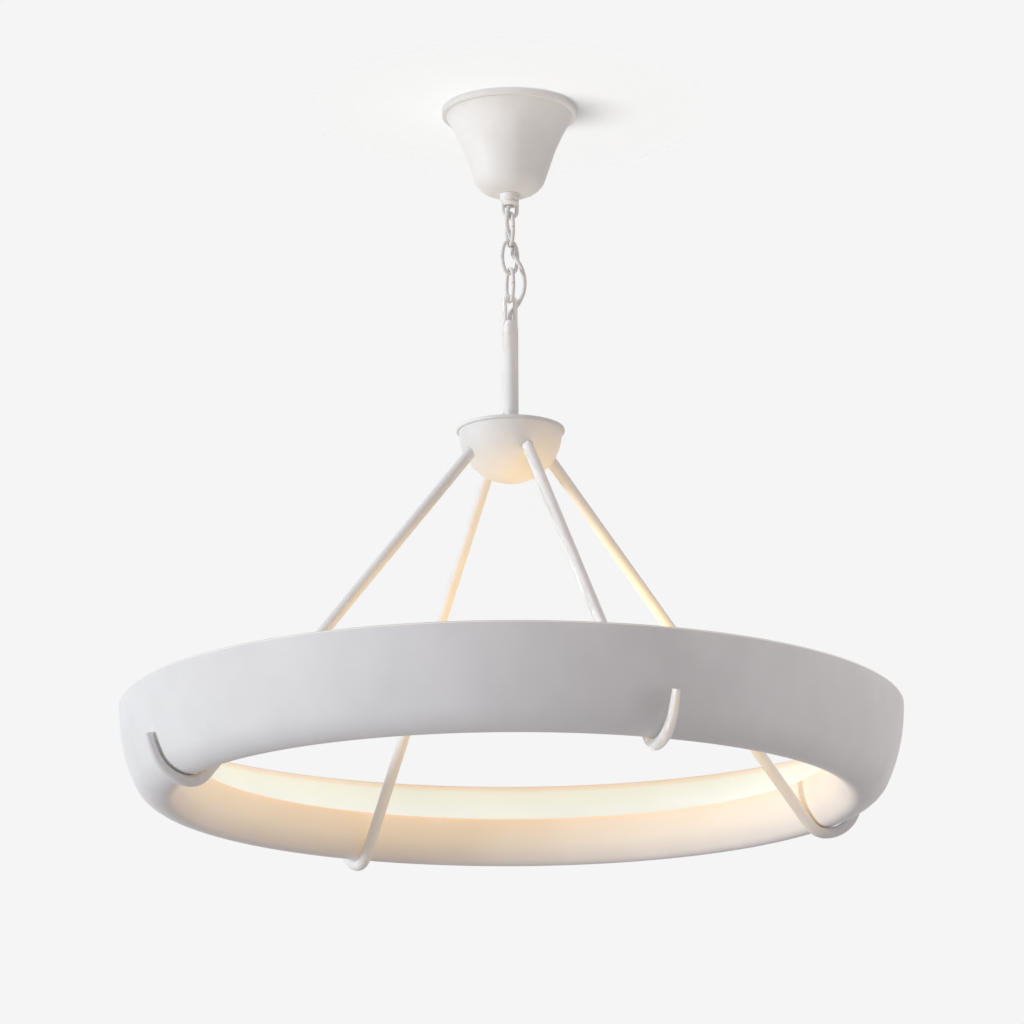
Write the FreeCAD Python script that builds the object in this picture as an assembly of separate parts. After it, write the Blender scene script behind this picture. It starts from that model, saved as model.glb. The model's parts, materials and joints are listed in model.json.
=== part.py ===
# Ring chandelier: a bell canopy on the ceiling, three chain links with a woven cord, a stem with a
# hub cup, four hooked arms and a lit ring trough that rests in the hooks.
# Millimetres, +Z up, origin on the ceiling plane at the hanging axis.
import FreeCAD, Part

import math
import os

from FreeCAD import Vector

# Fits
running_gap = 0.3
thread_gap = 0.2

# Ceiling bar
bar_length = 112.0
bar_width = 20.0
bar_thickness = 2.5
bar_corner = 3.0
slot_spacing = 88.9
slot_length = 14.0
slot_radius = 2.6
ear_margin = 2.0
ear_reach = 36.0
ground_screw_x = 22.0
ground_screw_radius = 2.0
ground_head_radius = 4.0
ground_head_height = 2.4

# Nipples and nuts
nipple_radius = 5.0
nipple_bore = 3.3
nut_flats = 16.0
nut_height = 5.0

# LED driver in the canopy
driver_length = 48.0
driver_width = 22.0
driver_height = 20.0
driver_edge = 1.5
driver_flange_end = 4.5
driver_flange_thickness = 2.5
driver_offset = 25.0
driver_screw_spacing = 57.0
driver_screw_radius = 1.5
driver_head_radius = 3.0
driver_head_height = 2.0
driver_lead_drop = 16.0
driver_lead_bend = 12.0

# Canopy
canopy_radius = 72.8
canopy_depth = 95.0
canopy_wall = 1.5
canopy_lip_height = 7.0
canopy_lip_round = 2.5
canopy_lip_width = 4.8
canopy_neck_radius = 46.0
canopy_neck_drop = 55.0
canopy_taper = 18.0
canopy_shoulder = 24.6

# Collar and hang loop
collar_radius = 10.4
collar_height = 6.0
collar_round = 0.8
loop_neck_radius = 7.5
loop_thread_depth = 8.5
loop_body_radius = 9.8
loop_body_height = 7.0
loop_body_chamfer = 2.5
loop_mouth_radius = 5.8
loop_groove_drop = 2.4
loop_groove_width = 0.6
loop_groove_depth = 0.5
loop_wire = 4.4
loop_width = 20.8
loop_drop = 22.2

# Chain
link_length = 40.0
link_width = 22.0
link_wire = 4.2
link_end_radius = 7.0
link_split = 0.7

# Cord
cord_diameter = 4.8

# Stem
stem_radius = 8.7
stem_bore = 6.7
stem_thread_depth = 14.0
stem_loop_wire = 5.0
stem_loop_width = 17.0
stem_eye_length = 30.0
stem_cone_height = 7.0
stem_cone_radius = 6.0
stem_cap_height = 7.8
stem_spigot_length = 12.0
stem_mouth_radius = 4.8
stem_mouth_depth = 6.0
stem_seam = 0.4

# Hub
hub_cover_drop = 356.0
hub_cover_overhang = 2.9
hub_cover_thickness = 4.0
hub_cover_round = 1.2
hub_cup_radius = 54.5
hub_cup_wall = 2.0
hub_lug_width = 9.0
hub_lug_length = 10.0
hub_lug_height = 7.0
hub_screw_count = 3
hub_screw_azimuth = 45.0
hub_screw_radius = 1.5
hub_head_radius = 3.2
hub_head_height = 1.8
hub_block_radius = 40.0
hub_block_height = 16.0
terminal_length = 12.0
terminal_width = 18.0
terminal_height = 10.0
terminal_inset = 14.0
stem_lead_bend = 9.0

# Arms
arm_azimuths = {"arm_back_right": -2.0, "arm_back_left": 94.0,
                "arm_front_left": 182.0, "arm_front_right": 269.0}
arm_radius = 6.0
arm_bore = 3.0
arm_tip_radius = 4.2
arm_seat_radius = 33.0
arm_seat_drop = 10.0
arm_tenon_radius = 4.2
arm_tenon_length = 8.0
hook_end_drop = 58.0

# Lead in one arm
feed_arm = "arm_back_left"
feed_radius = 2.0
feed_entry_bend = 15.0
feed_exit_bend = 8.0

# Ring
ring_top_drop = 660.0
ring_radius = 406.0
ring_height = 98.5
ring_belly_width = 48.6
ring_toe_width = 27.4
ring_inner_drop = 50.4
ring_wall = 4.0
ring_belly_radius = 35.0
ring_toe_radius = 14.2

# Light in the ring
carrier_width = 20.0
carrier_offset = 3.6
carrier_thickness = 2.0
strip_width = 10.0
strip_thickness = 0.8
strip_gap = 3.0
chip_count = 72
chip_size = 5.0
chip_height = 1.2
connector_offset = 3.0
connector_length = 12.0
connector_width = 12.0
connector_height = 12.0
diffuser_recess = 7.0
diffuser_thickness = 2.5

# Places that follow from the sizes above
driver_flange_length = driver_screw_spacing + 2 * driver_flange_end
ear_length = driver_flange_length + 2 * ear_margin
terminal_radius = arm_seat_radius - terminal_inset
canopy_floor = -canopy_depth
loop_top = canopy_floor - collar_height
loop_body_low = loop_top - loop_body_height
loop_low = loop_top - loop_drop
nipple_low = canopy_floor - loop_thread_depth
link_step = link_length - 2 * link_wire - running_gap
link_tops = [loop_low + loop_wire + running_gap + link_wire - i * link_step for i in range(3)]
chain_low = link_tops[-1] - link_length
stem_loop_top = chain_low + link_wire + running_gap + stem_loop_wire
stem_eye_low = stem_loop_top - stem_eye_length
stem_cap_top = stem_eye_low - stem_cone_height
stem_top = stem_cap_top - stem_cap_height
cover_top = -hub_cover_drop
cover_low = cover_top - hub_cover_thickness
block_low = cover_low - hub_block_height
hub_nut_low = block_low - nut_height
ring_top = -ring_top_drop
ring_low = ring_top - ring_height
ring_low_radius = ring_radius - ring_belly_width
ring_inner_radius = ring_low_radius - ring_toe_width

# Cord route in x, y, z: out of the hang loop, through the first two links, round the right of the
# third and from behind into the stem loop. It starts on the nipple's end and stops on the stem lead.
cord_route = [
    (0.0, 0.0, -98.5), (0.0, 0.0, -102.4), (-0.7, -0.7, -106.5), (-2.2, -2.1, -110.3),
    (-4.5, -4.5, -115.2), (-5.6, -5.4, -120.9), (-5.6, -4.5, -126.9), (-3.9, -2.2, -132.4),
    (0.0, 1.5, -137.2), (3.3, 4.1, -142.2), (5.0, 5.1, -148.3), (4.8, 4.5, -154.7),
    (3.7, 1.8, -160.3), (4.1, -2.1, -165.2), (6.6, -4.9, -170.3), (9.9, -5.9, -176.0),
    (12.9, -5.3, -182.4), (15.3, -3.6, -189.2), (16.4, -1.3, -196.2), (16.0, 1.3, -203.1),
    (14.1, 3.7, -209.7), (11.0, 5.3, -216.0), (6.5, 6.0, -220.9), (2.4, 4.1, -225.7),
    (0.4, 1.5, -230.8), (0.0, 0.0, -236.2), (0.0, 0.0, -241.0)]

up = Vector(0, 0, 1)
along_y = Vector(0, 1, 0)
origin = Vector(0, 0, 0)


def at(radius, height):
    return Vector(radius, 0, height)


def line(a, b):
    return Part.LineSegment(a, b).toShape()


def arc(a, b, c):
    return Part.Arc(a, b, c).toShape()


def spun(edges, angle=360.0):
    return Part.Face(Part.Wire(edges)).revolve(origin, up, angle)


def spun_outline(points, angle=360.0):
    closed = points + points[:1]
    return spun([line(at(*a), at(*b)) for a, b in zip(closed, closed[1:])], angle)


def rod(radius, start, stop):
    return Part.makeCylinder(radius, (stop - start).Length, start, stop - start)


def tube(outer, inner, high, low):
    return spun_outline([(inner, high), (outer, high), (outer, low), (inner, low)])


def brick(size_x, size_y, size_z, centre_x, centre_y, low):
    return Part.makeBox(size_x, size_y, size_z, Vector(centre_x - size_x / 2, centre_y - size_y / 2, low))


def joined(shapes):
    return shapes[0].fuse(shapes[1:]).removeSplitter()


def turned(shape, azimuth):
    copy = shape.copy()
    copy.rotate(origin, up, azimuth)
    return copy


def hex_nut(flats, bore, high, height):
    corner = flats / math.sqrt(3)
    turns = [math.radians(60 * i) for i in range(7)]
    corners = [Vector(corner * math.cos(t), corner * math.sin(t), high - height) for t in turns]
    prism = Part.Face(Part.makePolygon(corners)).extrude(up * height)
    return prism.cut(rod(bore, at(0, high - height), at(0, high)))


def screw(head_radius, head_height, shank_radius, shank_length, seat, pointing):
    head = rod(head_radius, seat - pointing * head_height, seat)
    shank = rod(shank_radius, seat, seat + pointing * shank_length)
    return joined([head, shank])


def hole(radius, x, y, low, high):
    return rod(radius, Vector(x, y, low), Vector(x, y, high))


# Straight runs joined by tangent arcs of the given radii.
def curved_path(points, radii):
    edges = []
    last = points[0]
    for before, corner, after, radius in zip(points, points[1:], points[2:], radii):
        way_in = (corner - before).normalize()
        way_out = (after - corner).normalize()
        half_turn = way_in.getAngle(way_out) / 2
        start = corner - way_in * radius * math.tan(half_turn)
        stop = corner + way_out * radius * math.tan(half_turn)
        middle = corner + (way_out - way_in).normalize() * radius * (1 / math.cos(half_turn) - 1)
        edges += [line(last, start), arc(start, middle, stop)]
        last = stop
    return Part.Wire(edges + [line(last, points[-1])])


# Arcs of a cord, each as large as its two runs allow.
def cord_radii(points):
    radii = []
    for before, corner, after in zip(points, points[1:], points[2:]):
        way_in = corner - before
        way_out = after - corner
        shorter = min(way_in.Length, way_out.Length)
        radii.append(0.45 * shorter / math.tan(way_in.getAngle(way_out) / 2))
    return radii


def piped(path, radius):
    first = path.OrderedEdges[0]
    start = first.valueAt(first.FirstParameter)
    heading = first.tangentAt(first.FirstParameter)
    return path.makePipeShell([disc_wire(radius, start, heading)], True, False)


# Bent round bar: a disc of the bar turned about a centre in the XZ plane.
# The angle is 0 on the outer side, 90 at the bottom and 180 on the inner side.
def bend_point(centre, radius, angle):
    turn = math.radians(angle)
    return centre + Vector(radius * math.cos(turn), 0, -radius * math.sin(turn))


def bend_heading(angle):
    turn = math.radians(angle)
    return Vector(-math.sin(turn), 0, -math.cos(turn))


def disc_wire(radius, centre, heading):
    return Part.Wire(Part.Circle(centre, heading, radius).toShape())


def bend_disc(radius, centre, angle):
    disc = Part.makeCircle(radius)
    disc.rotate(origin, along_y, angle)
    disc.translate(centre)
    return Part.Wire(disc)


def bent_bar(bar_radius, centre, radius, start, stop):
    disc = Part.Face(disc_wire(bar_radius, bend_point(centre, radius, start), bend_heading(start)))
    return disc.revolve(centre, along_y, stop - start)


# Ring section: four tangent arcs from the outer lip, down under the belly and up to the inner lip.
# A small arc at the bottom meets a large one that stands upright at the end of the run and the rise.
def upright_arc(small, run, rise):
    over = run - small
    high = rise - small
    reach = (over ** 2 + high ** 2) / (2 * over)
    return small + reach, math.degrees(math.atan2(high, reach - over))


def ring_arcs():
    lip = ring_wall / 2
    outer_end = ring_top - lip
    inner_end = ring_top - ring_inner_drop - lip
    wall_r, wall_turn = upright_arc(ring_belly_radius, ring_belly_width, outer_end - ring_low)
    inner_r, inner_turn = upright_arc(ring_toe_radius, ring_toe_width, inner_end - ring_low)
    inner_start = 180 - inner_turn
    return [(at(ring_radius - wall_r, outer_end), wall_r, 0.0, wall_turn),
            (at(ring_low_radius, ring_low + ring_belly_radius), ring_belly_radius, wall_turn, 90.0),
            (at(ring_low_radius, ring_low + ring_toe_radius), ring_toe_radius, 90.0, inner_start),
            (at(ring_inner_radius + inner_r, inner_end), inner_r, inner_start, 180.0)]


ring_bends = ring_arcs()


def ring_surface(angle, outward):
    for centre, radius, start, stop in ring_bends:
        if start <= angle <= stop:
            return bend_point(centre, radius + outward, angle)


# Radius of the trough's inside at a height: side 1 is its outer wall, side -1 its inner wall.
def trough_radius(height, side):
    bends = ring_bends[:2] if side > 0 else ring_bends[2:]
    for centre, radius, start, stop in bends:
        reach = radius - ring_wall
        sine = (centre.z - height) / reach
        limits = sorted(math.sin(math.radians(t)) for t in (start, stop))
        if limits[0] <= sine <= limits[1]:
            return centre.x + side * reach * math.sqrt(1 - sine ** 2)


def trough_floor(radius):
    for centre, outside, start, stop in ring_bends:
        reach = outside - ring_wall
        ends = sorted(bend_point(centre, reach, t).x for t in (start, stop))
        if ends[0] <= radius <= ends[1]:
            return centre.z - math.sqrt(reach ** 2 - (radius - centre.x) ** 2)


# Arm line: from its seat on the hub block, tangent to the ring's inner side below.
arm_seat = at(arm_seat_radius, cover_low - arm_seat_drop)


def arm_tangent():
    for centre, radius, start, stop in ring_bends[:1:-1]:
        reach = radius + arm_radius + running_gap
        away = arm_seat - centre
        bearing = math.degrees(math.atan2(-away.z, away.x)) % 360
        angle = bearing - math.degrees(math.acos(reach / away.Length))
        if start <= angle <= stop:
            return angle


arm_touch_angle = arm_tangent()
arm_touch = ring_surface(arm_touch_angle, arm_radius + running_gap)
arm_heading = (arm_touch - arm_seat).normalize()
arm_square = Vector(-arm_heading.z, 0, arm_heading.x)
hook_end_angle = math.degrees(math.asin((hook_end_drop - ring_wall / 2) / ring_bends[0][1]))

# Light in the ring, from its floor up
strip_radius = ring_low_radius + carrier_offset
carrier_inner = strip_radius - carrier_width / 2
carrier_outer = strip_radius + carrier_width / 2
carrier_low = max(trough_floor(carrier_inner), trough_floor(carrier_outer)) + running_gap
carrier_top = carrier_low + carrier_thickness
connector_radius = strip_radius - connector_offset
strip_top = carrier_top + strip_thickness
connector_face = connector_radius - connector_length / 2


# Routes of the leads that the fixture hides. The feed runs in the plane of its arm.
cord_points = [Vector(*p) for p in cord_route]
cord_radius = cord_diameter / 2
driver_side = driver_offset - driver_width / 2
feed_azimuth = arm_azimuths[feed_arm]
terminal_low = block_low - terminal_height
feed_height = block_low - terminal_height / 2


def driver_lead_path():
    points = [Vector(0, driver_side, -driver_lead_drop), at(0, -driver_lead_drop), cord_points[0]]
    return curved_path(points, [driver_lead_bend])


def stem_lead_path():
    turn_low = terminal_low - stem_lead_bend - running_gap
    points = [cord_points[-1], at(0, turn_low), at(terminal_radius, turn_low),
              at(terminal_radius, terminal_low)]
    return curved_path(points, [stem_lead_bend, stem_lead_bend])


def feed_path():
    start = at(terminal_radius + terminal_length / 2, feed_height)
    entry = arm_seat + arm_heading * ((feed_height - arm_seat.z) / arm_heading.z)
    reach = connector_face - running_gap - feed_radius * arm_square.z - arm_touch.x
    stop = arm_touch + arm_square * (reach / arm_square.x)
    return curved_path([start, entry, arm_touch, stop], [feed_entry_bend, feed_exit_bend])


def feed_passage():
    return piped(feed_path(), feed_radius + running_gap)


# Ceiling side
def mounting_crossbar():
    bar = brick(bar_length, bar_width, bar_thickness, 0, 0, -bar_thickness)
    ear = brick(ear_length, ear_reach, bar_thickness, 0, ear_reach / 2, -bar_thickness)
    plate = joined([bar, ear])
    upright = [e for e in plate.Edges if abs(e.tangentAt(e.FirstParameter).z) > 0.99]
    plate = plate.makeFillet(bar_corner, upright)
    slot_half = slot_length / 2 - slot_radius
    cuts = [hole(nipple_radius + thread_gap, 0, 0, -bar_thickness, 0),
            hole(ground_screw_radius + thread_gap, -ground_screw_x, 0, -bar_thickness, 0)]
    for side in (-1, 1):
        x = side * slot_spacing / 2
        cuts.append(brick(2 * slot_half, 2 * slot_radius, bar_thickness, x, 0, -bar_thickness))
        cuts += [hole(slot_radius, x + end * slot_half, 0, -bar_thickness, 0) for end in (-1, 1)]
        cuts.append(hole(driver_screw_radius + thread_gap, side * driver_screw_spacing / 2, driver_offset,
                         -bar_thickness, 0))
    return plate.cut(cuts)


def centre_nipple():
    pipe = tube(nipple_radius, nipple_bore, 0, nipple_low)
    return pipe.cut(piped(driver_lead_path(), cord_radius + running_gap))


def nipple_nut():
    return hex_nut(nut_flats, nipple_radius + thread_gap, -bar_thickness, nut_height)


def ground_screw():
    seat = at(-ground_screw_x, -bar_thickness)
    return screw(ground_head_radius, ground_head_height, ground_screw_radius, bar_thickness, seat, up)


def led_driver():
    body_low = -bar_thickness - driver_height
    body = brick(driver_length, driver_width, driver_height, 0, driver_offset, body_low)
    low_edges = [e for e in body.Edges if e.CenterOfMass.z < -bar_thickness - driver_edge]
    body = body.makeFillet(driver_edge, low_edges)
    flange_low = -bar_thickness - driver_flange_thickness
    flange = brick(driver_flange_length, driver_width, driver_flange_thickness, 0, driver_offset, flange_low)
    cuts = []
    for side in (-1, 1):
        x = side * driver_screw_spacing / 2
        cuts.append(hole(driver_head_radius + running_gap, x, driver_offset, body_low, flange_low))
        cuts.append(hole(driver_screw_radius + thread_gap, x, driver_offset, flange_low, -bar_thickness))
    return joined([body, flange]).cut(cuts)


def driver_screws():
    seat_z = -bar_thickness - driver_flange_thickness
    seats = [Vector(side * driver_screw_spacing / 2, driver_offset, seat_z) for side in (-1, 1)]
    grip = driver_flange_thickness + bar_thickness
    return Part.makeCompound([screw(driver_head_radius, driver_head_height, driver_screw_radius, grip, s, up)
                              for s in seats])


def driver_lead():
    return piped(driver_lead_path(), cord_radius)


def canopy_bell(inset):
    taper = math.radians(canopy_taper)
    outward = Vector(math.cos(taper), 0, -math.sin(taper))
    rim = canopy_radius - inset
    lip = -canopy_lip_height + inset
    lip_round = canopy_lip_round - inset
    flare = at(rim - canopy_lip_width, lip)
    neck = at(canopy_neck_radius, -canopy_neck_drop) - outward * inset
    sweep = flare - neck
    flare_centre = neck + outward * (sweep.Length ** 2 / (2 * sweep.dot(outward)))
    flare_middle = (flare + neck) / 2 - flare_centre
    flare_middle = flare_centre + flare_middle.normalize() * (neck - flare_centre).Length
    shoulder = canopy_shoulder - inset
    low = canopy_floor + inset
    shoulder_top = low + shoulder * (1 - math.sin(taper))
    shoulder_r = neck.x - (neck.z - shoulder_top) * math.tan(taper)
    round_centre = at(shoulder_r - shoulder * math.cos(taper), low + shoulder)
    turn = [bend_point(round_centre, shoulder, t) for t in (canopy_taper, (canopy_taper + 90) / 2, 90)]
    lip_turn = [bend_point(at(rim - lip_round, lip + lip_round), lip_round, t) for t in (0, 45, 90)]
    return spun([line(at(0, 0), at(rim, 0)), line(at(rim, 0), lip_turn[0]), arc(*lip_turn),
                 line(lip_turn[2], flare), arc(flare, flare_middle, neck), line(neck, turn[0]),
                 arc(*turn), line(turn[2], at(0, low)), line(at(0, low), at(0, 0))])


def canopy():
    shell = canopy_bell(0.0).cut(canopy_bell(canopy_wall))
    return shell.cut(hole(nipple_radius + running_gap, 0, 0, canopy_floor, 0))


def screw_collar():
    ring = tube(collar_radius, loop_neck_radius + thread_gap, canopy_floor, loop_top)
    level = [e for e in ring.Edges if e.BoundBox.ZLength < thread_gap]
    rims = [e for e in level if e.BoundBox.XMax > collar_radius - thread_gap]
    return ring.makeFillet(collar_round, rims)


def hang_loop():
    groove_high = loop_top - loop_groove_drop
    groove_low = groove_high - loop_groove_width
    groove_radius = loop_body_radius - loop_groove_depth
    body = spun_outline([(0, canopy_floor), (loop_neck_radius, canopy_floor), (loop_neck_radius, loop_top),
                         (loop_body_radius, loop_top), (loop_body_radius, groove_high),
                         (groove_radius, groove_high), (groove_radius, groove_low),
                         (loop_body_radius, groove_low),
                         (loop_body_radius, loop_body_low + loop_body_chamfer),
                         (loop_body_radius - loop_body_chamfer, loop_body_low), (0, loop_body_low)])
    half = (loop_width - loop_wire) / 2
    centre = at(0, loop_low + loop_wire / 2 + half)
    leg_top = (loop_top + loop_body_low) / 2
    legs = [rod(loop_wire / 2, at(side * half, centre.z), at(side * half, leg_top)) for side in (-1, 1)]
    loop = joined([body, bent_bar(loop_wire / 2, centre, half, 0, 180)] + legs)
    thread = hole(nipple_radius + thread_gap, 0, 0, nipple_low, canopy_floor)
    mouth = Part.makeCone(loop_mouth_radius, nipple_bore, nipple_low - loop_body_low, at(0, loop_body_low))
    return loop.cut([thread, mouth])


# Chain: an oval of two end arcs and two long side arcs, all tangent, with a butt split in one side.
def chain_link(top, azimuth):
    bar = link_wire / 2
    half_length = link_length / 2 - bar
    half_width = link_width / 2 - bar
    end_offset = half_length - link_end_radius
    span = half_width ** 2 + end_offset ** 2 - link_end_radius ** 2
    side_radius = span / (2 * (half_width - link_end_radius))
    side_offset = side_radius - half_width
    meet = math.degrees(math.atan2(end_offset, side_offset))
    middle = top - link_length / 2
    link = joined([bent_bar(bar, at(-side_offset, middle), side_radius, -meet, meet),
                   bent_bar(bar, at(0, middle - end_offset), link_end_radius, meet, 180 - meet),
                   bent_bar(bar, at(side_offset, middle), side_radius, 180 - meet, 180 + meet),
                   bent_bar(bar, at(0, middle + end_offset), link_end_radius, 180 + meet, 360 - meet)])
    split = brick(link_width / 2, link_wire, link_split, -link_width / 2, 0, middle - link_split / 2)
    return turned(link.cut(split), azimuth)


def power_cord():
    radii = cord_radii(cord_points)
    path = curved_path(cord_points, radii)
    cord = piped(path, cord_radius)
    whole = path.Length * math.pi * cord_radius ** 2
    print("cord radii", [round(r, 1) for r in radii])
    print("cord length %.1f, volume %.1f of %.1f" % (path.Length, cord.Volume, whole))
    return cord


# Stem and hub
def stem_loop():
    half = (stem_loop_width - stem_loop_wire) / 2
    centre = at(0, stem_loop_top - stem_loop_wire / 2 - half)
    leg_low = (stem_cap_top + stem_top) / 2
    legs = [rod(stem_loop_wire / 2, at(side * half, leg_low), at(side * half, centre.z)) for side in (-1, 1)]
    spigot = stem_bore - thread_gap
    spigot_low = stem_top - stem_spigot_length
    base = spun_outline([(0, stem_eye_low), (stem_cone_radius, stem_eye_low), (stem_radius, stem_cap_top),
                         (stem_radius, stem_top + stem_seam), (stem_radius - stem_seam, stem_top),
                         (spigot, stem_top), (spigot, spigot_low), (0, spigot_low)])
    loop = joined([base, bent_bar(stem_loop_wire / 2, centre, half, 180, 360)] + legs)
    bore = hole(nipple_bore, 0, 0, spigot_low, stem_eye_low)
    mouth_low = at(0, stem_eye_low - stem_mouth_depth)
    mouth = Part.makeCone(nipple_bore, stem_mouth_radius, stem_mouth_depth, mouth_low)
    return loop.cut([bore, mouth])


def stem_tube():
    thread = nipple_radius + thread_gap
    thread_top = cover_top + stem_thread_depth
    return spun_outline([(stem_bore, stem_top), (stem_radius - stem_seam, stem_top),
                         (stem_radius, stem_top - stem_seam), (stem_radius, cover_top),
                         (thread, cover_top), (thread, thread_top), (stem_bore, thread_top)])


def hub_nipple():
    return tube(nipple_radius, nipple_bore, cover_top + stem_thread_depth, hub_nut_low)


def hub_nut():
    return hex_nut(nut_flats, nipple_radius + thread_gap, block_low, nut_height)


hub_inner = hub_cup_radius - hub_cup_wall
hub_screw_circle = hub_inner - hub_lug_length / 2
hub_screw_turns = [hub_screw_azimuth + 360 * i / hub_screw_count for i in range(hub_screw_count)]


def hub_screw_holes(low, high):
    single = hole(hub_screw_radius + thread_gap, hub_screw_circle, 0, low, high)
    return [turned(single, t) for t in hub_screw_turns]


def hub_cover():
    disc = tube(hub_cup_radius + hub_cover_overhang, nipple_radius + running_gap, cover_top, cover_low)
    rims = [e for e in disc.Edges if e.BoundBox.XMax > hub_cup_radius and e.BoundBox.ZLength < thread_gap]
    return disc.makeFillet(hub_cover_round, rims).cut(hub_screw_holes(cover_low, cover_top))


def hub_cover_screws():
    grip = hub_cover_thickness + hub_lug_height
    seat = at(hub_screw_circle, cover_top)
    single = screw(hub_head_radius, hub_head_height, hub_screw_radius, grip, seat, -up)
    return Part.makeCompound([turned(single, t) for t in hub_screw_turns])


def hub_cup():
    centre = at(0, cover_low)
    outer = [bend_point(centre, hub_cup_radius, t) for t in (0, 45, 90)]
    inner = [bend_point(centre, hub_inner, t) for t in (90, 45, 0)]
    bowl = spun([arc(*outer), line(outer[2], inner[0]), arc(*inner), line(inner[2], outer[0])])
    lug_length = hub_lug_length + hub_cup_wall / 2
    lug_centre = hub_inner + hub_cup_wall / 2 - lug_length / 2
    lug = brick(lug_length, hub_lug_width, hub_lug_height, lug_centre, 0, cover_low - hub_lug_height)
    cup = joined([bowl] + [turned(lug, t) for t in hub_screw_turns])
    arm_hole = rod(arm_radius + running_gap, arm_seat, arm_seat + arm_heading * hub_cup_radius)
    arm_holes = [turned(arm_hole, t) for t in arm_azimuths.values()]
    return cup.cut(arm_holes + hub_screw_holes(cover_low - hub_lug_height, cover_low))


# Block under the cover: its cone is square to the arms, which screw into it.
def hub_block():
    bore = nipple_radius + running_gap
    cone_rise = arm_square.z / arm_square.x
    rim_low = arm_seat.z + (hub_block_radius - arm_seat_radius) * cone_rise
    foot_radius = arm_seat_radius - (arm_seat.z - block_low) / cone_rise
    body = spun_outline([(bore, cover_low), (hub_block_radius, cover_low), (hub_block_radius, rim_low),
                         (foot_radius, block_low), (bore, block_low)])
    depth = arm_tenon_length + running_gap
    socket = rod(arm_tenon_radius + thread_gap, arm_seat - arm_heading * depth, arm_seat + arm_heading)
    return body.cut([turned(socket, t) for t in arm_azimuths.values()])


def terminal_block():
    body = brick(terminal_length, terminal_width, terminal_height, terminal_radius, 0, terminal_low)
    return turned(body, feed_azimuth)


def stem_lead():
    return turned(piped(stem_lead_path(), cord_radius), feed_azimuth)


# Arms: a straight tube, then a hook under the ring that thins towards its cut end.
def hook_arm():
    tenon_end = arm_seat - arm_heading * arm_tenon_length
    pieces = [rod(arm_radius, arm_seat, arm_touch), rod(arm_tenon_radius, tenon_end, arm_seat)]
    offset = arm_radius + running_gap
    turn = arm_touch_angle
    for centre, radius, start, stop in ring_bends[:1:-1]:
        if start < turn:
            pieces.append(bent_bar(arm_radius, centre, radius + offset, turn, start))
            turn = start
    root = bend_disc(arm_radius, ring_surface(turn, offset), turn)
    tip = bend_disc(arm_tip_radius, ring_surface(hook_end_angle, offset), hook_end_angle)
    spine = []
    for centre, radius, start, stop in ring_bends[1::-1]:
        low = max(start, hook_end_angle)
        spine.append(arc(*[bend_point(centre, radius + offset, t) for t in (stop, (stop + low) / 2, low)]))
    pieces.append(Part.Wire(spine).makePipeShell([root, tip], True, False))
    return joined(pieces).cut(rod(arm_bore, tenon_end, arm_touch))


def feed_lead():
    return turned(piped(feed_path(), feed_radius), feed_azimuth)


# Ring and its light
def ring_shade():
    lip = ring_wall / 2
    outside = []
    inside = []
    for centre, radius, start, stop in ring_bends:
        turns = (start, (start + stop) / 2, stop)
        outside.append(arc(*[bend_point(centre, radius, t) for t in turns]))
        inside.append(arc(*[bend_point(centre, radius - ring_wall, t) for t in turns[::-1]]))
    inner_lip = ring_top - ring_inner_drop
    inner_edge = arc(at(ring_inner_radius, inner_lip - lip), at(ring_inner_radius + lip, inner_lip),
                     at(ring_inner_radius + ring_wall, inner_lip - lip))
    outer_edge = arc(at(ring_radius - ring_wall, ring_top - lip), at(ring_radius - lip, ring_top),
                     at(ring_radius, ring_top - lip))
    trough = spun(outside + [inner_edge] + inside[::-1] + [outer_edge])
    return trough.cut(turned(feed_passage(), feed_azimuth))


def led_carrier():
    return tube(carrier_outer, carrier_inner, carrier_top, carrier_low)


def led_strip():
    clear = math.degrees(math.asin((connector_width / 2 + strip_gap) / strip_radius))
    inner = strip_radius - strip_width / 2
    outer = strip_radius + strip_width / 2
    section = [(inner, carrier_top), (outer, carrier_top), (outer, strip_top), (inner, strip_top)]
    strip = spun_outline(section, 360 - 2 * clear)
    return turned(strip, feed_azimuth + clear)


def led_chips():
    single = brick(chip_size, chip_size, chip_height, strip_radius, 0, strip_top)
    step = 360 / chip_count
    return Part.makeCompound([turned(single, feed_azimuth + (i + 0.5) * step) for i in range(chip_count)])


def strip_connector():
    body = brick(connector_length, connector_width, connector_height, connector_radius, 0, carrier_top)
    return turned(body, feed_azimuth)


def diffuser():
    high = ring_top - ring_inner_drop - diffuser_recess
    low = high - diffuser_thickness
    return tube(trough_radius(low, 1) - running_gap, trough_radius(low, -1) + running_gap, high, low)


makers = [mounting_crossbar, centre_nipple, nipple_nut, ground_screw, led_driver, driver_screws,
          driver_lead, canopy, screw_collar, hang_loop, power_cord, stem_loop, stem_tube, hub_nipple,
          hub_nut, hub_cover, hub_cover_screws, hub_cup, hub_block, terminal_block, stem_lead, feed_lead,
          ring_shade, led_carrier, led_strip, led_chips, strip_connector, diffuser]
pieces = {maker.__name__: maker() for maker in makers}
for index, link_top in enumerate(link_tops):
    pieces["chain_link_%d" % (index + 1)] = chain_link(link_top, 90 if index % 2 == 0 else 0)
plain_arm = hook_arm()
for name, azimuth in arm_azimuths.items():
    arm = plain_arm.cut(feed_passage()) if name == feed_arm else plain_arm
    pieces[name] = turned(arm, azimuth)

os.makedirs("parts", exist_ok=True)
for name, shape in pieces.items():
    shape.exportStep("parts/%s.step" % name)
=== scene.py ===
import json
import math

import bmesh
import bpy
from mathutils import Matrix, Vector


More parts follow.
